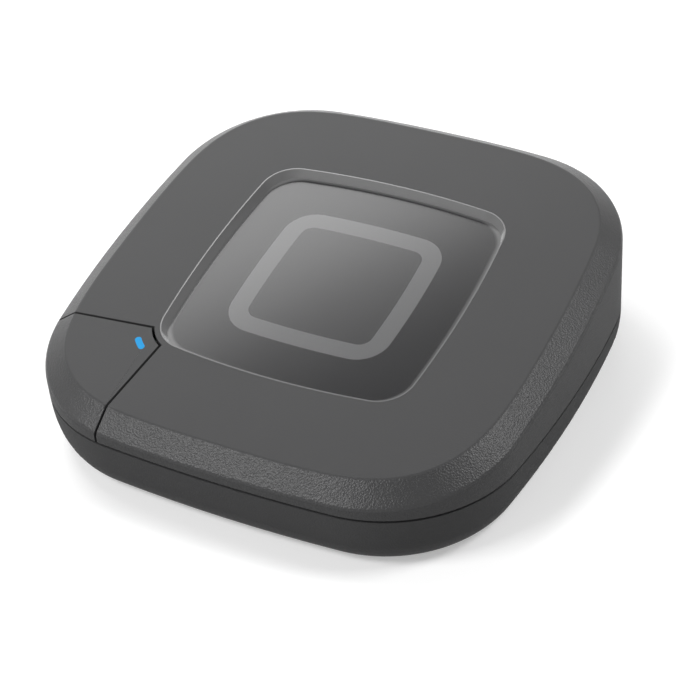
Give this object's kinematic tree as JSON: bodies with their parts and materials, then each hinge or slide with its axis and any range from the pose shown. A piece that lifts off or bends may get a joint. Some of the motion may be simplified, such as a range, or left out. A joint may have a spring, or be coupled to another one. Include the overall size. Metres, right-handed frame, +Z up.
{
  "type": "smart home access point",
  "caption": "Wedge-shaped desktop access point with a recessed square window, a corner push button with status light, and network and power sockets at the back.",
  "frame": {"origin": "centre of the footprint, on the table under the rubber feet", "axes": "+X to the right seen from the front, +Y to the back where the sockets are, +Z up; the button is at the front left corner"},
  "size_m": [0.11, 0.109, 0.0335],
  "materials": {
    "housing_plastic": "moulded anthracite plastic with a fine leather-like grain",
    "window_plastic": "smoked grey moulded plastic, satin",
    "ring_plastic": "light grey inlaid plastic",
    "light_plastic": "clear light guide lit blue",
    "foot_rubber": "soft black rubber",
    "adhesive_foam": "double-sided adhesive frame",
    "board_laminate": "green solder mask",
    "chip_plastic": "black moulded chip package",
    "ceramic": "fired ceramic",
    "lamp_plastic": "white lamp body",
    "socket_plastic": "black moulded socket body",
    "shield_metal": "tinned steel sheet",
    "screw_steel": "zinc plated steel",
    "contact_metal": "gold plated contact",
    "can_aluminium": "capacitor can"
  },
  "bodies": {
    "housing": {"top_cover": "housing_plastic", "bottom_shell": "housing_plastic", "window_panel": "window_plastic", "light_ring": "ring_plastic", "window_adhesive": "adhesive_foam", "main_board": "board_laminate", "board_screws": "screw_steel", "case_screws": "screw_steel", "rubber_feet": "foot_rubber", "processor": "chip_plastic", "memory_chip": "chip_plastic", "flash_chip": "chip_plastic", "network_controller": "chip_plastic", "network_transformer": "chip_plastic", "voltage_regulator": "chip_plastic", "power_inductor": "ceramic", "crystal": "shield_metal", "ceramic_parts": "ceramic", "capacitors": "can_aluminium", "radio_module": "board_laminate", "radio_shield": "shield_metal", "aerial": "shield_metal", "status_led": "lamp_plastic", "network_socket_shield": "shield_metal", "network_socket": "socket_plastic", "network_contacts": "contact_metal", "power_socket": "socket_plastic", "power_pin": "contact_metal", "power_contact": "contact_metal", "switch_housing": "socket_plastic", "switch_frame": "shield_metal", "switch_dome": "shield_metal"},
    "button": {"system_button": "housing_plastic", "light_guide": "light_plastic"},
    "switch": {"switch_plunger": "socket_plastic"}
  },
  "joints": [
    {"name": "button_press", "type": "slide", "parent": "housing", "child": "button", "axis": [0, 0, -1], "range_m": [0, 0.0004], "stiffness_N_per_m": 4000},
    {"name": "switch_press", "type": "slide", "parent": "housing", "child": "switch", "axis": [0, 0, -1], "range_m": [0, 0.0005], "deforming": ["switch_dome"]}
  ],
  "couplings": [
    {"joint": "switch_press", "follows": "button_press", "ratio": 1}
  ]
}
